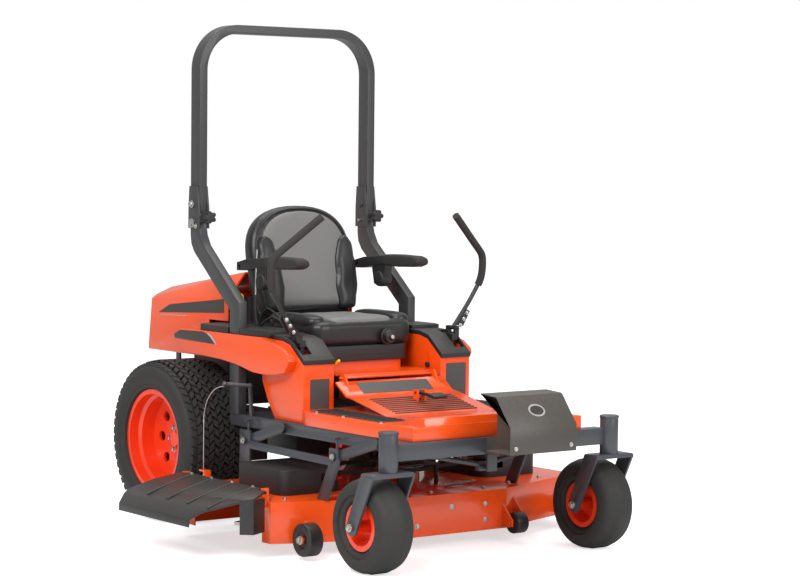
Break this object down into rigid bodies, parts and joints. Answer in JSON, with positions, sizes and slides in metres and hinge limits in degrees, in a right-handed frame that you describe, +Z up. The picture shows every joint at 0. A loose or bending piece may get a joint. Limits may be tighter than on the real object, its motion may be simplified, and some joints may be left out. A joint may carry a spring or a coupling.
{
  "type": "zero turn mower",
  "caption": "Ride-on zero-turn mower with a side-discharge deck, folding roll bar, suspended seat, caster front wheels and rear hood",
  "frame": {"origin": "middle of the footprint, on the ground", "axes": "+Z up, -Y is forward, +X is the machine's left"},
  "size_m": [1.733, 2.23, 1.953],
  "materials": {
    "frame_steel": "satin grey powder coat",
    "roll_bar": "satin dark grey powder coat",
    "body_orange": "gloss orange paint",
    "wheel_orange": "gloss red orange paint",
    "tyre_rubber": "weathered black rubber",
    "roller_rubber": "matt black rubber",
    "black_plastic": "grained black plastic",
    "box_plastic": "grained warm grey plastic",
    "seat_vinyl": "grained black vinyl",
    "zinc": "zinc plated steel",
    "cast_case": "dark grey casting",
    "lever_black": "satin black",
    "grip_orange": "moulded orange grip",
    "grip_yellow": "moulded yellow grip",
    "belt_rubber": "ribbed rubber"
  },
  "bodies": {
    "chassis": {"frame_rails": "frame_steel", "front_axle": "frame_steel", "floor_pan": "body_orange", "front_panel": "body_orange", "console_right": "body_orange", "console_left": "body_orange", "top_covers": "black_plastic", "fender_right": "body_orange", "fender_left": "body_orange", "rops_legs": "roll_bar", "guard_box": "box_plastic", "engine": "cast_case", "fuel_tank": "black_plastic", "transaxles": "cast_case", "chute_cable": "zinc"},
    "rops_hoop": {"rops_hoop": "roll_bar"},
    "rops_pin_right": {"rops_pin_right": "zinc"},
    "rops_pin_left": {"rops_pin_left": "zinc"},
    "rops_knob_right": {"rops_knob_right": "black_plastic"},
    "rops_knob_left": {"rops_knob_left": "black_plastic"},
    "rear_wheel_right": {"rear_rim_right": "wheel_orange", "rear_tyre_right": "tyre_rubber"},
    "rear_wheel_left": {"rear_rim_left": "wheel_orange", "rear_tyre_left": "tyre_rubber"},
    "caster_fork_right": {"caster_fork_right": "frame_steel"},
    "caster_fork_left": {"caster_fork_left": "frame_steel"},
    "caster_wheel_right": {"caster_rim_right": "wheel_orange", "caster_tyre_right": "tyre_rubber"},
    "caster_wheel_left": {"caster_rim_left": "wheel_orange", "caster_tyre_left": "tyre_rubber"},
    "lever_base_right": {"lever_base_right": "lever_black"},
    "lever_base_left": {"lever_base_left": "lever_black"},
    "control_lever_right": {"control_lever_right": "lever_black"},
    "control_lever_left": {"control_lever_left": "lever_black"},
    "deck": {"deck_shell": "body_orange", "belt_covers": "black_plastic", "deck_gearbox": "cast_case", "deck_belt": "belt_rubber", "deck_hangers": "frame_steel"},
    "chute_deflector": {"chute_deflector": "roller_rubber"},
    "gauge_wheel_right": {"gauge_wheel_right": "roller_rubber"},
    "gauge_wheel_left": {"gauge_wheel_left": "roller_rubber"},
    "deck_roller": {"deck_roller": "roller_rubber"},
    "spindle_right": {"spindle_right": "zinc"},
    "spindle_centre": {"spindle_centre": "zinc"},
    "spindle_left": {"spindle_left": "zinc"},
    "front_lift_arm": {"front_lift_arm": "frame_steel"},
    "rear_lift_arm": {"rear_lift_arm": "frame_steel"},
    "hood": {"hood": "body_orange"},
    "seat_platform": {"seat_platform": "body_orange"},
    "suspension_top": {"suspension_top": "black_plastic"},
    "seat_cushion": {"seat_cushion": "seat_vinyl"},
    "backrest": {"backrest": "seat_vinyl"},
    "armrest_right": {"armrest_right": "black_plastic"},
    "armrest_left": {"armrest_left": "black_plastic"},
    "tension_knob": {"tension_knob": "black_plastic"},
    "foot_pedal": {"foot_pedal": "black_plastic"},
    "brake_lever": {"brake_lever": "grip_orange"},
    "throttle_lever": {"throttle_lever": "grip_yellow"},
    "seat_latch": {"seat_latch": "grip_yellow"}
  },
  "joints": [
    {"name": "rear_wheel_right", "type": "hinge", "parent": "chassis", "child": "rear_wheel_right", "pos_m": [-0.365, 0.632, 0.3175], "axis": [1, 0, 0], "continuous": true},
    {"name": "caster_swivel_right", "type": "hinge", "parent": "chassis", "child": "caster_fork_right", "pos_m": [-0.454, -0.885, 0.42], "axis": [0, 0, 1], "continuous": true},
    {"name": "caster_roll_right", "type": "hinge", "parent": "caster_fork_right", "child": "caster_wheel_right", "pos_m": [-0.454, -0.798, 0.165], "axis": [1, 0, 0], "continuous": true},
    {"name": "rear_wheel_left", "type": "hinge", "parent": "chassis", "child": "rear_wheel_left", "pos_m": [0.465, 0.632, 0.3175], "axis": [1, 0, 0], "continuous": true},
    {"name": "caster_swivel_left", "type": "hinge", "parent": "chassis", "child": "caster_fork_left", "pos_m": [0.554, -0.885, 0.42], "axis": [0, 0, 1], "continuous": true},
    {"name": "caster_roll_left", "type": "hinge", "parent": "caster_fork_left", "child": "caster_wheel_left", "pos_m": [0.554, -0.798, 0.165], "axis": [1, 0, 0], "continuous": true},
    {"name": "rops_fold", "type": "hinge", "parent": "chassis", "child": "rops_hoop", "pos_m": [0.05, 0.522, 1.25], "axis": [-1, 0, 0], "range_deg": [0, 100]},
    {"name": "rops_pin_pull_right", "type": "slide", "parent": "chassis", "child": "rops_pin_right", "axis": [-1, 0, 0], "range_m": [0, 0.06]},
    {"name": "rops_knob_turn_right", "type": "hinge", "parent": "chassis", "child": "rops_knob_right", "pos_m": [-0.352, 0.462, 1.2], "axis": [0, 1, 0], "continuous": true},
    {"name": "drive_lever_right", "type": "hinge", "parent": "chassis", "child": "lever_base_right", "pos_m": [-0.28, -0.113, 0.64], "axis": [1, 0, 0], "range_deg": [-10, 10]},
    {"name": "lever_swing_right", "type": "hinge", "parent": "lever_base_right", "child": "control_lever_right", "pos_m": [-0.32, -0.113, 0.778], "axis": [0, 1, 0], "range_deg": [0, 22]},
    {"name": "rops_pin_pull_left", "type": "slide", "parent": "chassis", "child": "rops_pin_left", "axis": [1, 0, 0], "range_m": [0, 0.06]},
    {"name": "rops_knob_turn_left", "type": "hinge", "parent": "chassis", "child": "rops_knob_left", "pos_m": [0.452, 0.462, 1.2], "axis": [0, 1, 0], "continuous": true},
    {"name": "drive_lever_left", "type": "hinge", "parent": "chassis", "child": "lever_base_left", "pos_m": [0.38, -0.113, 0.64], "axis": [1, 0, 0], "range_deg": [-10, 10]},
    {"name": "lever_swing_left", "type": "hinge", "parent": "lever_base_left", "child": "control_lever_left", "pos_m": [0.42, -0.113, 0.778], "axis": [0, -1, 0], "range_deg": [0, 22]},
    {"name": "deck_lift", "type": "slide", "parent": "chassis", "child": "deck", "axis": [0, 0, 1], "range_m": [0, 0.09]},
    {"name": "front_lift", "type": "hinge", "parent": "chassis", "child": "front_lift_arm", "pos_m": [0.05, -0.698, 0.432], "axis": [1, 0, 0], "range_deg": [0, 22.2]},
    {"name": "rear_lift", "type": "hinge", "parent": "chassis", "child": "rear_lift_arm", "pos_m": [0.05, -0.108, 0.432], "axis": [1, 0, 0], "range_deg": [0, 22.2]},
    {"name": "chute_tilt", "type": "hinge", "parent": "deck", "child": "chute_deflector", "pos_m": [-0.595, -0.058, 0.235], "axis": [0, 1, 0], "range_deg": [0, 95]},
    {"name": "gauge_roll_right", "type": "hinge", "parent": "deck", "child": "gauge_wheel_right", "pos_m": [-0.5, -0.468, 0.075], "axis": [1, 0, 0], "continuous": true},
    {"name": "gauge_roll_left", "type": "hinge", "parent": "deck", "child": "gauge_wheel_left", "pos_m": [0.78, -0.468, 0.075], "axis": [1, 0, 0], "continuous": true},
    {"name": "roller_roll", "type": "hinge", "parent": "deck", "child": "deck_roller", "pos_m": [0.386, -0.565, 0.075], "axis": [1, 0, 0], "continuous": true},
    {"name": "spindle_turn_right", "type": "hinge", "parent": "deck", "child": "spindle_right", "pos_m": [-0.33, -0.028, 0.15], "axis": [0, 0, 1], "continuous": true},
    {"name": "spindle_turn_centre", "type": "hinge", "parent": "deck", "child": "spindle_centre", "pos_m": [0.14, -0.178, 0.15], "axis": [0, 0, 1], "continuous": true},
    {"name": "spindle_turn_left", "type": "hinge", "parent": "deck", "child": "spindle_left", "pos_m": [0.61, -0.028, 0.15], "axis": [0, 0, 1], "continuous": true},
    {"name": "hood_open", "type": "hinge", "parent": "chassis", "child": "hood", "pos_m": [0.05, 1.102, 0.63], "axis": [-1, 0, 0], "range_deg": [0, 45]},
    {"name": "seat_tip", "type": "hinge", "parent": "chassis", "child": "seat_platform", "pos_m": [0.05, -0.19, 0.615], "axis": [1, 0, 0], "range_deg": [0, 35]},
    {"name": "suspension_travel", "type": "slide", "parent": "seat_platform", "child": "suspension_top", "axis": [0, 0, 1], "range_m": [-0.03, 0], "stiffness_N_per_m": 30000, "springref_m": 0.03},
    {"name": "seat_slide", "type": "slide", "parent": "suspension_top", "child": "seat_cushion", "axis": [0, -1, 0], "range_m": [0, 0.07]},
    {"name": "recline", "type": "hinge", "parent": "seat_cushion", "child": "backrest", "pos_m": [0.05, 0.367, 0.815], "axis": [1, 0, 0], "range_deg": [-3, 12]},
    {"name": "armrest_tilt_right", "type": "hinge", "parent": "backrest", "child": "armrest_right", "pos_m": [-0.23, 0.377, 1.01], "axis": [-1, 0, 0], "range_deg": [0, 80]},
    {"name": "armrest_tilt_left", "type": "hinge", "parent": "backrest", "child": "armrest_left", "pos_m": [0.33, 0.377, 1.01], "axis": [-1, 0, 0], "range_deg": [0, 80]},
    {"name": "knob_turn", "type": "hinge", "parent": "seat_cushion", "child": "tension_knob", "pos_m": [0.14, -0.078, 0.752], "axis": [0, 1, 0], "continuous": true},
    {"name": "pedal_press", "type": "hinge", "parent": "chassis", "child": "foot_pedal", "pos_m": [0.065, -0.373, 0.566], "axis": [1, 0, 0], "range_deg": [0, 12], "stiffness_Nm_per_rad": 8, "springref_deg": -8.59},
    {"name": "brake_pull", "type": "hinge", "parent": "chassis", "child": "brake_lever", "pos_m": [-0.305, 0.317, 0.738], "axis": [1, 0, 0], "range_deg": [0, 30]},
    {"name": "throttle_move", "type": "hinge", "parent": "chassis", "child": "throttle_lever", "pos_m": [-0.276, 0.317, 0.738], "axis": [1, 0, 0], "range_deg": [0, 25]},
    {"name": "latch_turn", "type": "hinge", "parent": "chassis", "child": "seat_latch", "pos_m": [-0.195, -0.158, 0.65], "axis": [-1, 0, 0], "range_deg": [0, 25]}
  ],
  "couplings": [
    {"joint": "front_lift", "follows": "deck_lift", "rad_per_m": 4.3013},
    {"joint": "rear_lift", "follows": "deck_lift", "rad_per_m": 4.3013},
    {"joint": "spindle_turn_right", "follows": "spindle_turn_centre", "ratio": 1},
    {"joint": "spindle_turn_left", "follows": "spindle_turn_centre", "ratio": 1}
  ]
}
